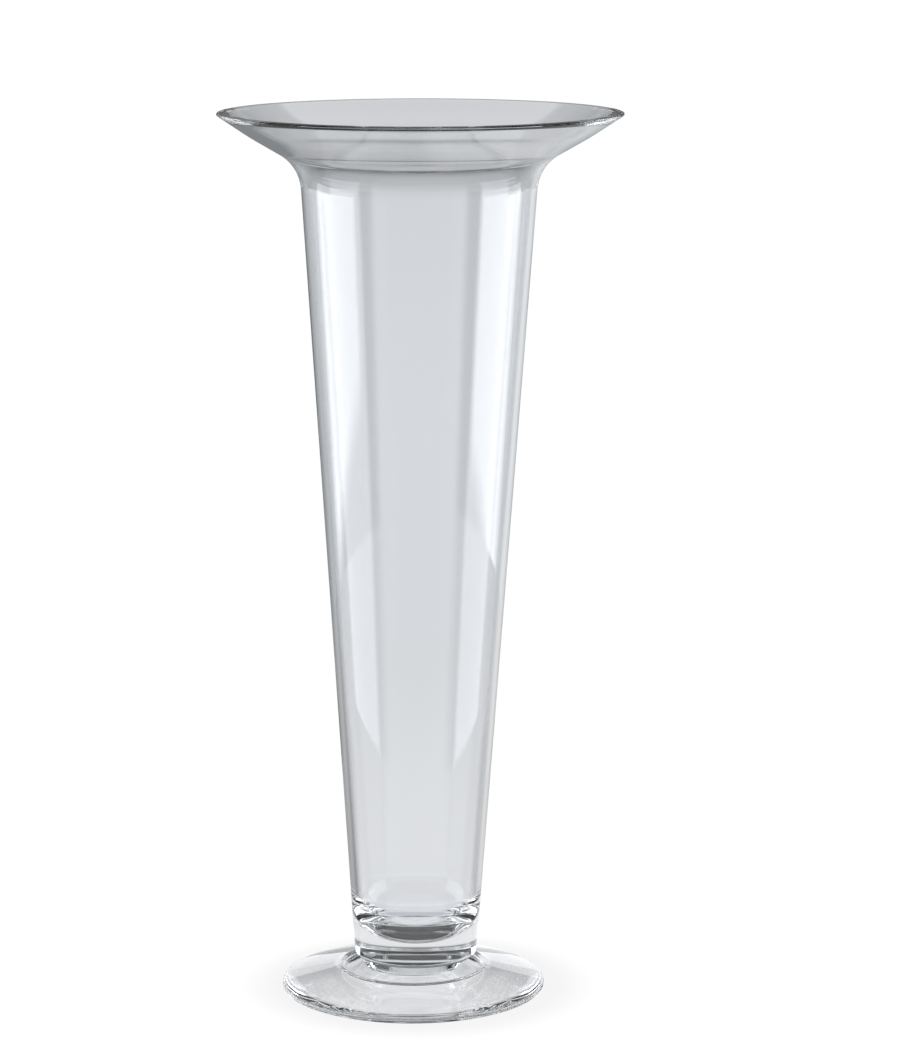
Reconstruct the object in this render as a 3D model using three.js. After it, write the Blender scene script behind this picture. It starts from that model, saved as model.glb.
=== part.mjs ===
// Footed trumpet vase in clear glass: a tall tapering bowl with a wide flared mouth, a stem
// button and a spun foot, made as three gathers of glass and joined hot on flat seats.
// Units are millimetres and +Z is up. The origin is the centre of the foot, on the table.

import * as THREE from "three";

// ---- Driving dimensions ----
const totalHeight = 508;
const mouthRadius = 114.3; // widest point of the rim
const footRadius = 76.2;

// Bowl
const bowlBaseHeight = 19.5; // underside of the bowl, where it sits on the button
const bowlBaseRadius = 35.3; // where the line of the wall would reach that height
const bowlTaper = 0.07; // growth of the outer radius for each millimetre of height
const bowlBaseRounding = 2.45;
const mouthAngle = THREE.MathUtils.degToRad(33.5); // of the outer flare, above the horizontal
const throatAngle = THREE.MathUtils.degToRad(30); // of the inner flare, which is a little flatter
const mouthBendRadius = 96; // where one becomes the other
const mouthBendRounding = 150;
const throatRounding = 25; // outside, where the wall turns into the flare
const flareThickness = 4.8;
const rimOuterRounding = 0.7; // the rim is ground flat, and its two edges are eased
const rimInnerRounding = 0.4;
const throatWall = 3; // thickness of the wall just below the flare
const baseWall = 4; // thickness of the wall just above the cavity's rounded floor
const throatHeight = 477;
const cavityFloorHeight = 30;
const cavityRounding = 31;

// Stem button
const buttonBaseHeight = 12; // where the button sits on the foot
const shoulderRadius = 42.7;
const shoulderHeight = 13.6;
const shoulderRounding = 0.8;
const neckFootRadius = 28; // the neck tapers up from here ...
const neckSeatRadius = 20; // ... to the seat that carries the bowl
const neckFootRounding = 4;

// Foot
const footEdgeHeight = 3.6; // top of the edge of the foot
const footEdgeRounding = 1.6;
const restInnerRadius = 70; // the ring that stands on the table runs from here ...
const restOuterRadius = 74.4; // ... to here
const domeRadius = 34; // flat middle of the hollow underside
const domeHeight = 6.5;
const domeRounding = 40;

// ---- Fineness of the faceted shape ----
const segmentsRound = 64;
const degreesPerArcStep = 15;

// An outline from its corners [radius, height, rounding]. A corner with a rounding becomes an
// arc that is tangent to both of the straight sides that meet there.
function roundedOutline(corners) {
  const at = corners.map(([radius, height]) => new THREE.Vector2(radius, height));
  const points = [];
  corners.forEach(([, , rounding], i) => {
    if (!rounding) {
      points.push(at[i]);
      return;
    }
    const toBefore = at[i - 1].clone().sub(at[i]).normalize();
    const toAfter = at[i + 1].clone().sub(at[i]).normalize();
    const halfAngle = Math.acos(toBefore.dot(toAfter)) / 2;
    const middle = toBefore.clone().add(toAfter).normalize();
    const centre = at[i].clone().addScaledVector(middle, rounding / Math.sin(halfAngle));
    const start = at[i].clone().addScaledVector(toBefore, rounding / Math.tan(halfAngle)).sub(centre);
    const turnSide = Math.sign(toAfter.cross(toBefore));
    const turn = turnSide * (Math.PI - 2 * halfAngle);
    const steps = Math.ceil(THREE.MathUtils.radToDeg(Math.abs(turn)) / degreesPerArcStep);
    for (let step = 0; step <= steps; step += 1) {
      const spoke = start.clone().rotateAround(new THREE.Vector2(), (turn * step) / steps);
      points.push(spoke.add(centre));
    }
  });
  return points;
}

// Where the sloping line "radius = at0 + growth * height" meets the cone that climbs at the
// given angle through a point.
function meetCone(at0, growth, point, angle) {
  const climb = Math.tan(angle);
  const radius = (at0 + growth * (point.y - climb * point.x)) / (1 - growth * climb);
  return [radius, point.y + climb * (radius - point.x)];
}

// Turns an outline, which starts and ends on the axis, round +Z into a closed mesh.
function turned(name, outline, material) {
  const geometry = new THREE.LatheGeometry(outline, segmentsRound);
  geometry.rotateX(Math.PI / 2);
  const mesh = new THREE.Mesh(geometry, material);
  mesh.name = name;
  return mesh;
}

// ---- Outlines, each from the axis out along the underside, up and back to the axis ----
function bowlOutline() {
  const rimReach = rimOuterRounding * (1 / Math.tan(mouthAngle / 2) - 1);
  const rimOuter = new THREE.Vector2(mouthRadius + rimReach, totalHeight);
  const rimInner = new THREE.Vector2(rimOuter.x - flareThickness / Math.sin(mouthAngle), totalHeight);
  const outward = new THREE.Vector2(Math.cos(mouthAngle), Math.sin(mouthAngle));
  const toBend = (mouthBendRadius - rimOuter.x) / outward.x;
  const bendOuter = rimOuter.clone().addScaledVector(outward, toBend);
  const middleAngle = (mouthAngle + throatAngle) / 2;
  const through = new THREE.Vector2(-Math.sin(middleAngle), Math.cos(middleAngle));
  const bendInner = bendOuter.clone().addScaledVector(through, flareThickness);

  const outerAtZero = bowlBaseRadius - bowlTaper * bowlBaseHeight;
  const wallGrowth = (throatWall - baseWall) / (throatHeight - cavityFloorHeight);
  const innerTaper = bowlTaper - wallGrowth;
  const innerAtZero = outerAtZero - baseWall + wallGrowth * cavityFloorHeight;
  const throatOuter = meetCone(outerAtZero, bowlTaper, bendOuter, throatAngle);
  const throatInner = meetCone(innerAtZero, innerTaper, bendInner, throatAngle);
  const cavityCorner = innerAtZero + innerTaper * cavityFloorHeight;

  return roundedOutline([
    [0, bowlBaseHeight],
    [bowlBaseRadius, bowlBaseHeight, bowlBaseRounding],
    [...throatOuter, throatRounding],
    [...bendOuter, mouthBendRounding],
    [...rimOuter, rimOuterRounding],
    [...rimInner, rimInnerRounding],
    [...bendInner, mouthBendRounding],
    [...throatInner, throatRounding + flareThickness],
    [cavityCorner, cavityFloorHeight, cavityRounding],
    [0, cavityFloorHeight],
  ]);
}

function buttonOutline() {
  return roundedOutline([
    [0, buttonBaseHeight],
    [shoulderRadius, buttonBaseHeight],
    [shoulderRadius, shoulderHeight, shoulderRounding],
    [neckFootRadius, shoulderHeight, neckFootRounding],
    [neckSeatRadius, bowlBaseHeight],
    [0, bowlBaseHeight],
  ]);
}

function footOutline() {
  return roundedOutline([
    [0, domeHeight],
    [domeRadius, domeHeight, domeRounding],
    [restInnerRadius, 0],
    [restOuterRadius, 0],
    [footRadius, 0, footEdgeRounding],
    [footRadius, footEdgeHeight, footEdgeRounding],
    [shoulderRadius, buttonBaseHeight],
    [0, buttonBaseHeight],
  ]);
}

// ---- Materials: one clear glass each, with the faint cool grey of its thickness ----
function clearGlass(color) {
  return new THREE.MeshStandardMaterial({
    color,
    roughness: 0.03,
    metalness: 0,
    transparent: true,
    opacity: 0.35,
  });
}

const vase = new THREE.Group();
vase.name = "trumpet_vase";
vase.add(
  turned("trumpet_bowl", bowlOutline(), clearGlass(0xd9dde2)),
  turned("stem_button", buttonOutline(), clearGlass(0xc9cdd6)),
  turned("foot", footOutline(), clearGlass(0xd5d9dd)),
);

export default vase;
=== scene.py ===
"""Footed trumpet vase in clear glass, on a white sweep with a softbox at each side.

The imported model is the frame. Each of its three nodes is replaced by a fine glass piece that is
turned from the same outline, with the slight lean and waviness of hand-made glass, and the pieces
join at the same seats. Lengths are in metres unless a comment says otherwise, +Z is up and the
camera looks along +Y.
"""

import math

import bmesh
import bpy
from mathutils import Matrix, Vector


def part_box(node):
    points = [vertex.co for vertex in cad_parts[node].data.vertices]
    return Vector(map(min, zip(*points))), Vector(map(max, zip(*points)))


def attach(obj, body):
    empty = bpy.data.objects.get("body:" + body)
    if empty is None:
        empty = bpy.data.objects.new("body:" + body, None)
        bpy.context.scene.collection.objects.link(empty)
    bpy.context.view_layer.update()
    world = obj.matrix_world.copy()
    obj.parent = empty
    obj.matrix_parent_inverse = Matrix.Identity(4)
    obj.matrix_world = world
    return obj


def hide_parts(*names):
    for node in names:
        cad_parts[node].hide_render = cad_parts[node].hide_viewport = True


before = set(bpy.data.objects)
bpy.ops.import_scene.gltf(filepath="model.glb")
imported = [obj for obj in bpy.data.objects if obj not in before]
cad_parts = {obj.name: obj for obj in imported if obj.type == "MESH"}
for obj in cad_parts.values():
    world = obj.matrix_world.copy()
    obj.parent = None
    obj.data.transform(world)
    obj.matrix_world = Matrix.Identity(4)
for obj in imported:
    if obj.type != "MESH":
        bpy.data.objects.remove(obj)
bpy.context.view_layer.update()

MM = 0.001
TAU = 2 * math.pi

# ---- Driving dimensions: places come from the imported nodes, thicknesses from the design ----
bowl_low, bowl_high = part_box("trumpet_bowl")
button_low, button_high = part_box("stem_button")
foot_low, foot_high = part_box("foot")

TOP = bowl_high[2]
MOUTH_RADIUS = bowl_high[0]
BOWL_SEAT = bowl_low[2]
BUTTON_SEAT = button_low[2]
SHOULDER_RADIUS = button_high[0]
FOOT_RADIUS = foot_high[0]

# Bowl
BOWL_BASE_RADIUS = 35.3 * MM
BOWL_TAPER = 0.07
BOWL_BASE_ROUNDING = 2.45 * MM
MOUTH_ANGLE = math.radians(33.5)
THROAT_ANGLE = math.radians(30)
MOUTH_BEND_RADIUS = 96 * MM
MOUTH_BEND_ROUNDING = 150 * MM
THROAT_ROUNDING = 25 * MM
FLARE_THICKNESS = 4.8 * MM
RIM_OUTER_ROUNDING = 0.7 * MM
RIM_INNER_ROUNDING = 0.4 * MM
THROAT_WALL = 3 * MM
BASE_WALL = 4 * MM
THROAT_HEIGHT = 477 * MM
CAVITY_FLOOR = 30 * MM
CAVITY_ROUNDING = 31 * MM

# Stem button
SHOULDER_HEIGHT = 13.6 * MM
SHOULDER_ROUNDING = 0.8 * MM
NECK_FOOT_RADIUS = 28 * MM
NECK_FOOT_ROUNDING = 4 * MM
NECK_SEAT_RADIUS = 20 * MM

# Foot
FOOT_EDGE_HEIGHT = 3.6 * MM
FOOT_EDGE_ROUNDING = 1.6 * MM
REST_INNER_RADIUS = 70 * MM
REST_OUTER_RADIUS = 74.4 * MM
DOME_RADIUS = 34 * MM
DOME_HEIGHT = 6.5 * MM
DOME_ROUNDING = 40 * MM

# Hand-made lean: the bowl's slope, and how far the foot and the rim are off its axis, along X
BOWL_LEAN = 0.0061
FOOT_SHIFT = -3 * MM
RIM_SHIFT = 0.5 * MM

# ---- Fineness of the turned meshes ----
SEGMENTS = 256
ARC_STEP = math.radians(4)
LINE_STEP = 5 * MM
SLACK = 1e-7

# ---- Material slots of a turned mesh ----
GLASS_SLOT = 0
JOINT_SLOT = 1
GROUND_SLOT = 2

# ---- Glass: colour, waves and tool marks in its surface, and rare dull specks ----
REFRACTIVE_INDEX = 1.5
TINT = (0.955, 0.965, 0.978, 1)
TINT_ON_WAVES = (0.962, 0.970, 0.984, 1)
# Each noise: stretch along X, Y and Z, scale and detail. A small stretch draws it out that way.
WAVES = ((1, 1, 0.3), 28, 1)
TOOL_MARKS = ((0.15, 0.15, 1), 160, 2)
GRAIN = ((1, 1, 1), 900, 3)
WAVE_HEIGHT = 0.09 * MM
TOOL_MARK_HEIGHT = 0.004 * MM
SPECK_THRESHOLD = 0.70
SPECK_SOFTNESS = 0.03
# Roughness of the polished glass, of a speck, and of the ground face of the rim
POLISHED = 0.0
SPECKED = 0.12
GROUND = 0.05

# ---- Studio: a white sweep with a softbox at each side and a dim glow overhead ----
# Glass mirrors the panels below. Through itself it shows the plain backdrop and floor, and the
# camera sees white past it.
# Each panel: azimuth, half width, lowest and highest elevation, softness of its sides, level.
# Azimuths are in degrees round the vase: 0 is the camera's side, +90 is +X and 180 is straight
# behind.
LEFT_SOFTBOX = (-94.5, 26.5, -14.8, 22, 2, 2.4)
RIGHT_SOFTBOX = (93, 27, -16.5, 22, 2, 2.4)
OVERHEAD = (180, 200, 41, 95, 5, 0.6)
REAR_HIGH = (180, 60, -2, 16.3, 10, 0.9)
FRONT_FILL = (0, 50, -90, 12, 4, 0.85)
REAR_GLOW_LEFT = (-133, 24, -90, 10, 12, 0.3)
REAR_GLOW_RIGHT = (138, 30, -90, 10, 12, 0.35)
REAR_WALL = (180, 40, -90, 10, 8, 0.22)
REAR_WALL_RIGHT = (150, 26, -90, 10, 6, 0.2)
SIDE_FLOOR_LEFT = (-80, 30, -90, -20, 8, 0.75)
SIDE_FLOOR_RIGHT = (80, 30, -90, -20, 8, 0.75)
SWEEP_PANELS = [FRONT_FILL, REAR_GLOW_LEFT, REAR_GLOW_RIGHT, REAR_WALL, REAR_WALL_RIGHT]
MIRRORED_PANELS = [LEFT_SOFTBOX, RIGHT_SOFTBOX, OVERHEAD, REAR_HIGH] + SWEEP_PANELS
FLOOR_PANELS = [SIDE_FLOOR_LEFT, SIDE_FLOOR_RIGHT] + SWEEP_PANELS
ELEVATION_SOFTNESS = 0.7

# Colours and levels. The ambient light comes from everywhere, and only mirrored rays meet it.
ROOM_COLOUR = (0.985, 0.995, 1.01, 1)
AMBIENT_COLOUR = (0.4, 0.8, 1.0, 1)
FLOOR_COLOUR = (0.985, 0.99, 1.0, 1)
WHITE = (1, 1, 1, 1)
AMBIENT = 0.03
WHITE_LEVEL = 1.02
BACKDROP_LEVEL = 0.715
BACKDROP_TOP = 6
BACKDROP_FADE = 16

# Floor: a disc just under the foot, so that the two faces don't coincide
FLOOR_RADIUS = 0.94
FLOOR_SEGMENTS = 96
FLOOR_DROP = 0.2 * MM
# Mirrored in the glass: the floor panels' level at one elevation, painted light near the foot,
# and a painted shadow, nearly dark, where the foot covers it
FLOOR_ELEVATION = -45
NEAR_FLOOR_RADIUS = 0.13
NEAR_FLOOR_SOFTNESS = 0.02
NEAR_FLOOR_LIFT = 0.5
COVERED_RADIUS = FOOT_RADIUS + 3 * MM
COVERED_SOFTNESS = 2 * MM
PAINTED_SHADOW_UNDER_FOOT = 0.06
# Seen through the glass: how much lighter than the backdrop, as painted light, all round and under the
# foot
FLOOR_LIFT_RADIUS = 0.6
FLOOR_LIFT_SOFTNESS = 0.35
FLOOR_LIFT = 0.075
UNDER_FOOT_RADIUS = FOOT_RADIUS + 8 * MM
UNDER_FOOT_SOFTNESS = 8 * MM
UNDER_FOOT_LIFT = 0.08
# Seen directly: a faint painted shade round the foot
PAINTED_SHADE_RADIUS = 0.095
PAINTED_SHADE_SOFTNESS = 0.018
PAINTED_SHADE_LEVEL = 0.91

# Dark card, curved round the back of the vase at the height of its rim
FLAG_RADIUS = 0.94
FLAG_LOW = 0.46
FLAG_HIGH = 0.8
FLAG_HALF_WIDTH = 70
FLAG_STEPS_EACH_SIDE = 12
FLAG_LEVEL = 0.19

# ---- Camera; its lens and sensor are in millimetres ----
CAMERA_DISTANCE = 2.0763
CAMERA_HEIGHT = 0.6565
CAMERA_PITCH = math.radians(10.548)
CAMERA_TURN_RIGHT = math.radians(0.528)
CAMERA_LENS = 125.4
SENSOR_WIDTH = 36
FARTHEST_SEEN = 50

# ---- Light paths: enough for a ray to pass every surface of the glass several times ----
BOUNCES_THROUGH = 40
BOUNCES_MIRRORED = 24


# ---- Outlines ----
def rounded_outline(corners):
    """Points of an outline given as corners (radius, height, rounding), finely stepped."""
    at = [Vector(corner[:2]) for corner in corners]
    points = []
    for i, corner in enumerate(corners):
        rounding = corner[2] if len(corner) > 2 else 0
        if not rounding:
            stretch = [at[i]]
        else:
            to_before = (at[i - 1] - at[i]).normalized()
            to_after = (at[i + 1] - at[i]).normalized()
            half_angle = to_before.angle(to_after) / 2
            centre = at[i] + (to_before + to_after).normalized() * (rounding / math.sin(half_angle))
            spoke = at[i] + to_before * (rounding / math.tan(half_angle)) - centre
            crossed = to_after.x * to_before.y - to_after.y * to_before.x
            turn = math.copysign(math.pi - 2 * half_angle, crossed)
            steps = max(2, math.ceil(abs(turn) / ARC_STEP))
            stretch = [
                centre + Matrix.Rotation(turn * step / steps, 2) @ spoke for step in range(steps + 1)
            ]
        if points:
            start = points[-1]
            gap = stretch[0] - start
            steps = max(1, math.ceil(gap.length / LINE_STEP))
            points += [start + gap * (step / steps) for step in range(1, steps)]
        points += stretch
    return points


def meet_cone(at_zero, growth, point, angle):
    """Where the line radius = at_zero + growth * height meets a cone that climbs through point."""
    climb = math.tan(angle)
    radius = (at_zero + growth * (point.y - climb * point.x)) / (1 - growth * climb)
    return (radius, point.y + climb * (radius - point.x))


def bowl_outline():
    rim_reach = RIM_OUTER_ROUNDING * (1 / math.tan(MOUTH_ANGLE / 2) - 1)
    rim_outer = Vector((MOUTH_RADIUS + rim_reach, TOP))
    rim_inner = rim_outer - Vector((FLARE_THICKNESS / math.sin(MOUTH_ANGLE), 0))
    outward = Vector((math.cos(MOUTH_ANGLE), math.sin(MOUTH_ANGLE)))
    bend_outer = rim_outer + outward * ((MOUTH_BEND_RADIUS - rim_outer.x) / outward.x)
    middle_angle = (MOUTH_ANGLE + THROAT_ANGLE) / 2
    through = Vector((-math.sin(middle_angle), math.cos(middle_angle)))
    bend_inner = bend_outer + through * FLARE_THICKNESS

    outer_at_zero = BOWL_BASE_RADIUS - BOWL_TAPER * BOWL_SEAT
    wall_growth = (THROAT_WALL - BASE_WALL) / (THROAT_HEIGHT - CAVITY_FLOOR)
    inner_taper = BOWL_TAPER - wall_growth
    inner_at_zero = outer_at_zero - BASE_WALL + wall_growth * CAVITY_FLOOR
    throat_outer = meet_cone(outer_at_zero, BOWL_TAPER, bend_outer, THROAT_ANGLE)
    throat_inner = meet_cone(inner_at_zero, inner_taper, bend_inner, THROAT_ANGLE)
    return rounded_outline(
        [
            (0, BOWL_SEAT),
            (NECK_SEAT_RADIUS, BOWL_SEAT),
            (BOWL_BASE_RADIUS, BOWL_SEAT, BOWL_BASE_ROUNDING),
            (*throat_outer, THROAT_ROUNDING),
            (*bend_outer, MOUTH_BEND_ROUNDING),
            (*rim_outer, RIM_OUTER_ROUNDING),
            (*rim_inner, RIM_INNER_ROUNDING),
            (*bend_inner, MOUTH_BEND_ROUNDING),
            (*throat_inner, THROAT_ROUNDING + FLARE_THICKNESS),
            (inner_at_zero + inner_taper * CAVITY_FLOOR, CAVITY_FLOOR, CAVITY_ROUNDING),
            (0, CAVITY_FLOOR),
        ]
    )


def button_outline():
    return rounded_outline(
        [
            (0, BUTTON_SEAT),
            (SHOULDER_RADIUS, BUTTON_SEAT),
            (SHOULDER_RADIUS, SHOULDER_HEIGHT, SHOULDER_ROUNDING),
            (NECK_FOOT_RADIUS, SHOULDER_HEIGHT, NECK_FOOT_ROUNDING),
            (NECK_SEAT_RADIUS, BOWL_SEAT),
            (0, BOWL_SEAT),
        ]
    )


def foot_outline():
    return rounded_outline(
        [
            (0, DOME_HEIGHT),
            (DOME_RADIUS, DOME_HEIGHT, DOME_ROUNDING),
            (REST_INNER_RADIUS, 0),
            (REST_OUTER_RADIUS, 0),
            (FOOT_RADIUS, 0, FOOT_EDGE_ROUNDING),
            (FOOT_RADIUS, FOOT_EDGE_HEIGHT, FOOT_EDGE_ROUNDING),
            (SHOULDER_RADIUS, BUTTON_SEAT),
            (0, BUTTON_SEAT),
        ]
    )


# ---- Turning an outline into a closed mesh ----
def stands_off(height):
    """How far the hand-made glass stands off the axis, along X, at a height."""
    bowl = BOWL_LEAN * (height - TOP / 2)
    over_button = min(1, max(0, (height - SHOULDER_HEIGHT) / (BOWL_SEAT - SHOULDER_HEIGHT)))
    over_throat = min(1, max(0, (height - THROAT_HEIGHT) / (TOP - THROAT_HEIGHT)))
    return FOOT_SHIFT * (1 - over_button) + bowl * over_button + RIM_SHIFT * over_throat


def slot_of(inner, outer, seats):
    """The slot of the faces between two points of an outline: those on a seat are a joint, where
    two pieces of glass have run into one, and the flat top of the rim is ground."""
    for radius, height in seats:
        level = max(abs(inner.y - height), abs(outer.y - height)) < SLACK
        if level and max(inner.x, outer.x) < radius + SLACK:
            return JOINT_SLOT
    if min(inner.y, outer.y) > TOP - SLACK:
        return GROUND_SLOT
    return GLASS_SLOT


def ring_of(shape, point):
    """The vertices that a point of an outline turns through: a single one on the axis."""
    if point.x < SLACK:
        return [shape.verts.new((0, 0, point.y))]
    angles = [TAU * k / SEGMENTS for k in range(SEGMENTS)]
    return [
        shape.verts.new((point.x * math.cos(angle), point.x * math.sin(angle), point.y))
        for angle in angles
    ]


def join_rings(shape, lower, upper, slot):
    for k in range(SEGMENTS):
        n = (k + 1) % SEGMENTS
        if len(lower) == 1:
            corners = (lower[0], upper[n], upper[k])
        elif len(upper) == 1:
            corners = (lower[k], lower[n], upper[0])
        else:
            corners = (lower[k], lower[n], upper[n], upper[k])
        face = shape.faces.new(corners)
        face.smooth = slot == GLASS_SLOT
        face.material_index = slot


def object_of(name, shape, materials):
    mesh = bpy.data.meshes.new(name)
    shape.to_mesh(mesh)
    shape.free()
    for material in materials:
        mesh.materials.append(material)
    made = bpy.data.objects.new(name, mesh)
    bpy.context.scene.collection.objects.link(made)
    return made


def turned(name, outline, seats, materials):
    """An outline turned round +Z. Each seat is given by its radius and height."""
    shape = bmesh.new()
    rings = [ring_of(shape, point) for point in outline]
    for i in range(len(outline) - 1):
        join_rings(shape, rings[i], rings[i + 1], slot_of(outline[i], outline[i + 1], seats))
    for vertex in shape.verts:
        vertex.co.x += stands_off(vertex.co.z)
    return object_of(name, shape, materials)


# ---- Node arithmetic ----
def feed(tree, value, socket):
    """Sets a socket to a number, or links it to another node's output."""
    if isinstance(value, (int, float)):
        socket.default_value = value
    else:
        tree.links.new(value, socket)


def maths(tree, operation, *values):
    node = tree.nodes.new("ShaderNodeMath")
    node.operation = operation
    for socket, value in zip(node.inputs, values):
        feed(tree, value, socket)
    return node.outputs[0]


def rises(tree, value, at, softness):
    """0 below the given value and 1 above it, with a soft step between."""
    node = tree.nodes.new("ShaderNodeMapRange")
    node.interpolation_type = "SMOOTHSTEP"
    feed(tree, value, node.inputs["Value"])
    node.inputs["From Min"].default_value = at - softness
    node.inputs["From Max"].default_value = at + softness
    return node.outputs["Result"]


def falls(tree, value, at, softness):
    return maths(tree, "SUBTRACT", 1, rises(tree, value, at, softness))


def product(tree, *values):
    total = values[0]
    for value in values[1:]:
        total = maths(tree, "MULTIPLY", total, value)
    return total


def glow(tree, kind, colour, level):
    """An Emission or Background shader of one colour."""
    node = tree.nodes.new(kind)
    node.inputs["Color"].default_value = colour
    feed(tree, level, node.inputs["Strength"])
    return node.outputs[0]


def mixed(tree, factor, first, second):
    node = tree.nodes.new("ShaderNodeMixShader")
    tree.links.new(factor, node.inputs["Fac"])
    tree.links.new(first, node.inputs[1])
    tree.links.new(second, node.inputs[2])
    return node.outputs[0]


def is_mirrored(tree, path):
    """1 for a ray that has been mirrored on its way here, and 0 for any other."""
    return maths(tree, "GREATER_THAN", path.outputs["Glossy Depth"], 0)


def level_by_path(tree, path, mirrored, through):
    """One level for mirrored rays and another for those that have only come through the glass."""
    reflected = is_mirrored(tree, path)
    direct = maths(tree, "SUBTRACT", 1, reflected)
    return maths(tree, "ADD", product(tree, mirrored, reflected), product(tree, through, direct))


# ---- Materials ----
def new_material(name):
    material = bpy.data.materials.new(name)
    material.use_nodes = True
    material.node_tree.nodes.clear()
    return material, material.node_tree


def put_on_surface(tree, shader):
    output = tree.nodes.new("ShaderNodeOutputMaterial")
    tree.links.new(shader, output.inputs["Surface"])


def stretched_noise(tree, stretch, scale, detail):
    """Noise that is fixed to the glass."""
    where = tree.nodes.new("ShaderNodeTexCoord")
    mapping = tree.nodes.new("ShaderNodeMapping")
    mapping.inputs["Scale"].default_value = stretch
    tree.links.new(where.outputs["Object"], mapping.inputs["Vector"])
    texture = tree.nodes.new("ShaderNodeTexNoise")
    texture.inputs["Scale"].default_value = scale
    texture.inputs["Detail"].default_value = detail
    tree.links.new(mapping.outputs["Vector"], texture.inputs["Vector"])
    return texture.outputs["Fac"]


def clear_glass(name, least_roughness, most_roughness):
    """Clear glass with a faint cool tint, drawn-out waves in its surface and a few dull specks."""
    material, tree = new_material(name)
    waves = stretched_noise(tree, *WAVES)
    tool_marks = stretched_noise(tree, *TOOL_MARKS)
    grain = stretched_noise(tree, *GRAIN)

    shader = tree.nodes.new("ShaderNodeBsdfPrincipled")
    shader.inputs["IOR"].default_value = REFRACTIVE_INDEX
    shader.inputs["Transmission Weight"].default_value = 1.0

    tint = tree.nodes.new("ShaderNodeMix")
    tint.data_type = "RGBA"
    tint.inputs["A"].default_value = TINT
    tint.inputs["B"].default_value = TINT_ON_WAVES
    tree.links.new(waves, tint.inputs["Factor"])
    tree.links.new(tint.outputs["Result"], shader.inputs["Base Color"])

    specks = rises(tree, grain, SPECK_THRESHOLD, SPECK_SOFTNESS)
    spread = product(tree, specks, most_roughness - least_roughness)
    tree.links.new(maths(tree, "ADD", spread, least_roughness), shader.inputs["Roughness"])

    wave_height = product(tree, waves, WAVE_HEIGHT)
    mark_height = product(tree, tool_marks, TOOL_MARK_HEIGHT)
    bump = tree.nodes.new("ShaderNodeBump")
    bump.inputs["Distance"].default_value = 1
    tree.links.new(maths(tree, "ADD", wave_height, mark_height), bump.inputs["Height"])
    tree.links.new(bump.outputs["Normal"], shader.inputs["Normal"])
    put_on_surface(tree, shader.outputs["BSDF"])
    return material


def fused_joint():
    """Where two pieces of glass are fused there is no surface left to see."""
    material, tree = new_material("fused_joint")
    put_on_surface(tree, tree.nodes.new("ShaderNodeBsdfTransparent").outputs["BSDF"])
    return material


# ---- Studio ----
def panel(tree, azimuth, elevation, shape):
    centre, half_width, lowest, highest, softness, level = shape
    aside = maths(tree, "WRAP", maths(tree, "SUBTRACT", azimuth, centre), 180, -180)
    inside = falls(tree, maths(tree, "ABSOLUTE", aside), half_width, softness)
    above = rises(tree, elevation, lowest, ELEVATION_SOFTNESS)
    below = falls(tree, elevation, highest, ELEVATION_SOFTNESS)
    return product(tree, inside, above, below, level)


def light_of(tree, azimuth, elevation, panels):
    total = 0
    for shape in panels:
        total = maths(tree, "ADD", total, panel(tree, azimuth, elevation, shape))
    return total


def azimuth_of(tree, x, y):
    return maths(tree, "DEGREES", maths(tree, "ARCTAN2", x, maths(tree, "MULTIPLY", y, -1)))


def place_of(tree, kind):
    """The X, Y and Z outputs of one of the kinds of texture coordinate."""
    where = tree.nodes.new("ShaderNodeTexCoord")
    split = tree.nodes.new("ShaderNodeSeparateXYZ")
    tree.links.new(where.outputs[kind], split.inputs[0])
    return split.outputs


def studio_world():
    world = bpy.data.worlds.new("studio")
    bpy.context.scene.world = world
    world.use_nodes = True
    tree = world.node_tree
    tree.nodes.clear()
    x, y, z = place_of(tree, "Generated")
    azimuth = azimuth_of(tree, x, y)
    elevation = maths(tree, "DEGREES", maths(tree, "ARCSINE", z))
    mirrored = light_of(tree, azimuth, elevation, MIRRORED_PANELS)
    through = product(tree, falls(tree, elevation, BACKDROP_TOP, BACKDROP_FADE), BACKDROP_LEVEL)

    path = tree.nodes.new("ShaderNodeLightPath")
    ambient = product(tree, is_mirrored(tree, path), AMBIENT)
    room = tree.nodes.new("ShaderNodeAddShader")
    lit = glow(tree, "ShaderNodeBackground", ROOM_COLOUR, level_by_path(tree, path, mirrored, through))
    tree.links.new(lit, room.inputs[0])
    tree.links.new(glow(tree, "ShaderNodeBackground", AMBIENT_COLOUR, ambient), room.inputs[1])
    seen = glow(tree, "ShaderNodeBackground", WHITE, WHITE_LEVEL)
    chosen = mixed(tree, path.outputs["Is Camera Ray"], room.outputs[0], seen)
    output = tree.nodes.new("ShaderNodeOutputWorld")
    tree.links.new(chosen, output.inputs["Surface"])


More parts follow.
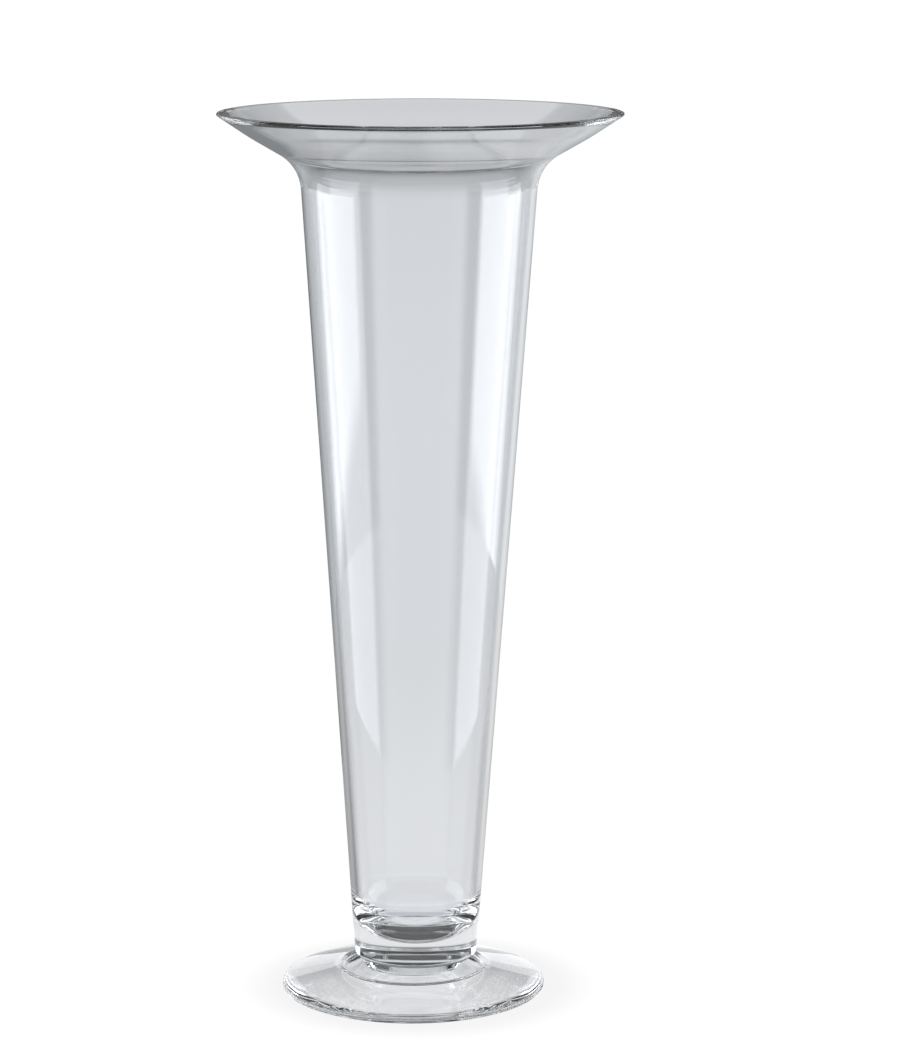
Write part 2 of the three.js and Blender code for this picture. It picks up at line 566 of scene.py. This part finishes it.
def floor_material():
    """White card. It glows for rays that come through or off the glass, like the lit sweep does,
    and has a little painted shade round the foot where the camera sees it directly."""
    material, tree = new_material("white_sweep")
    x, y, _ = place_of(tree, "Object")
    azimuth = azimuth_of(tree, x, y)
    radius = maths(tree, "SQRT", maths(tree, "ADD", product(tree, x, x), product(tree, y, y)))

    # Painted light: for mirrored rays the floor glows brighter near the foot.
    near = product(tree, falls(tree, radius, NEAR_FLOOR_RADIUS, NEAR_FLOOR_SOFTNESS), NEAR_FLOOR_LIFT)
    open_light = maths(tree, "ADD", light_of(tree, azimuth, FLOOR_ELEVATION, FLOOR_PANELS), near)
    # Painted shadow: for mirrored rays the floor is nearly dark where the foot covers it.
    outside_painted_shadow = rises(tree, radius, COVERED_RADIUS, COVERED_SOFTNESS)
    mirrored = maths(tree, "MAXIMUM", product(tree, open_light, outside_painted_shadow), PAINTED_SHADOW_UNDER_FOOT)

    # Painted light: for rays through the glass the floor is lighter towards the middle and under the
    # foot.
    lift = product(tree, falls(tree, radius, FLOOR_LIFT_RADIUS, FLOOR_LIFT_SOFTNESS), FLOOR_LIFT)
    is_under_foot = falls(tree, radius, UNDER_FOOT_RADIUS, UNDER_FOOT_SOFTNESS)
    under_foot = product(tree, is_under_foot, UNDER_FOOT_LIFT)
    through = maths(tree, "ADD", maths(tree, "ADD", lift, under_foot), BACKDROP_LEVEL)

    path = tree.nodes.new("ShaderNodeLightPath")
    lit = glow(tree, "ShaderNodeEmission", FLOOR_COLOUR, level_by_path(tree, path, mirrored, through))
    # Painted shade: where the camera sees the floor directly, it glows a little less round the foot.
    outside_painted_shade = product(tree, rises(tree, radius, PAINTED_SHADE_RADIUS, PAINTED_SHADE_SOFTNESS), WHITE_LEVEL - PAINTED_SHADE_LEVEL)
    seen = glow(tree, "ShaderNodeEmission", WHITE, maths(tree, "ADD", PAINTED_SHADE_LEVEL, outside_painted_shade))
    put_on_surface(tree, mixed(tree, path.outputs["Is Camera Ray"], lit, seen))
    return material


def floor():
    shape = bmesh.new()
    bmesh.ops.create_circle(shape, cap_ends=True, segments=FLOOR_SEGMENTS, radius=FLOOR_RADIUS)
    sweep = object_of("floor", shape, [floor_material()])
    sweep.location.z = -FLOOR_DROP


def flag_material():
    """A dark card that is seen only in reflections: it is clear to every other ray."""
    material, tree = new_material("dark_flag")
    path = tree.nodes.new("ShaderNodeLightPath")
    clear = tree.nodes.new("ShaderNodeBsdfTransparent").outputs["BSDF"]
    card = glow(tree, "ShaderNodeEmission", WHITE, FLAG_LEVEL)
    put_on_surface(tree, mixed(tree, is_mirrored(tree, path), clear, card))
    return material


def flag():
    shape = bmesh.new()
    columns = []
    for step in range(-FLAG_STEPS_EACH_SIDE, FLAG_STEPS_EACH_SIDE + 1):
        aside = math.radians(FLAG_HALF_WIDTH * step / FLAG_STEPS_EACH_SIDE)
        at = (FLAG_RADIUS * math.sin(aside), FLAG_RADIUS * math.cos(aside))
        columns.append([shape.verts.new((*at, height)) for height in (FLAG_LOW, FLAG_HIGH)])
    for left, right in zip(columns, columns[1:]):
        shape.faces.new((left[0], right[0], right[1], left[1]))
    card = object_of("flag", shape, [flag_material()])


def camera():
    data = bpy.data.cameras.new("camera")
    data.sensor_width = SENSOR_WIDTH
    data.lens = CAMERA_LENS
    data.clip_end = FARTHEST_SEEN
    seen_from = bpy.data.objects.new("camera", data)
    turn = Matrix.Rotation(-CAMERA_TURN_RIGHT, 4, "Z")
    tilt = Matrix.Rotation(math.pi / 2 - CAMERA_PITCH, 4, "X")
    place = Matrix.Translation((0, -CAMERA_DISTANCE, CAMERA_HEIGHT))
    seen_from.matrix_world = place @ turn @ tilt
    bpy.context.scene.collection.objects.link(seen_from)
    bpy.context.scene.camera = seen_from


def render_look():
    scene = bpy.context.scene
    scene.view_settings.view_transform = "Standard"
    scene.cycles.max_bounces = BOUNCES_THROUGH
    scene.cycles.transmission_bounces = BOUNCES_THROUGH
    scene.cycles.glossy_bounces = BOUNCES_MIRRORED
    scene.cycles.transparent_max_bounces = BOUNCES_THROUGH
    scene.cycles.use_denoising = True
    scene.cycles.sample_clamp_indirect = 0


# ---- The vase, its studio and its camera ----
glass = clear_glass("clear_glass", POLISHED, SPECKED)
ground = clear_glass("ground_rim", GROUND, GROUND + SPECKED)
joint = fused_joint()
upper_seat = (NECK_SEAT_RADIUS, BOWL_SEAT)
lower_seat = (SHOULDER_RADIUS, BUTTON_SEAT)
bowl = turned("glass_bowl", bowl_outline(), [upper_seat], [glass, joint, ground])
button = turned("glass_button", button_outline(), [upper_seat, lower_seat], [glass, joint])
foot = turned("glass_foot", foot_outline(), [lower_seat], [glass, joint])
for piece, node in ((bowl, "trumpet_bowl"), (button, "stem_button"), (foot, "foot")):
    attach(piece, "root")
    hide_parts(node)

camera()
studio_world()
floor()
flag()
render_look()
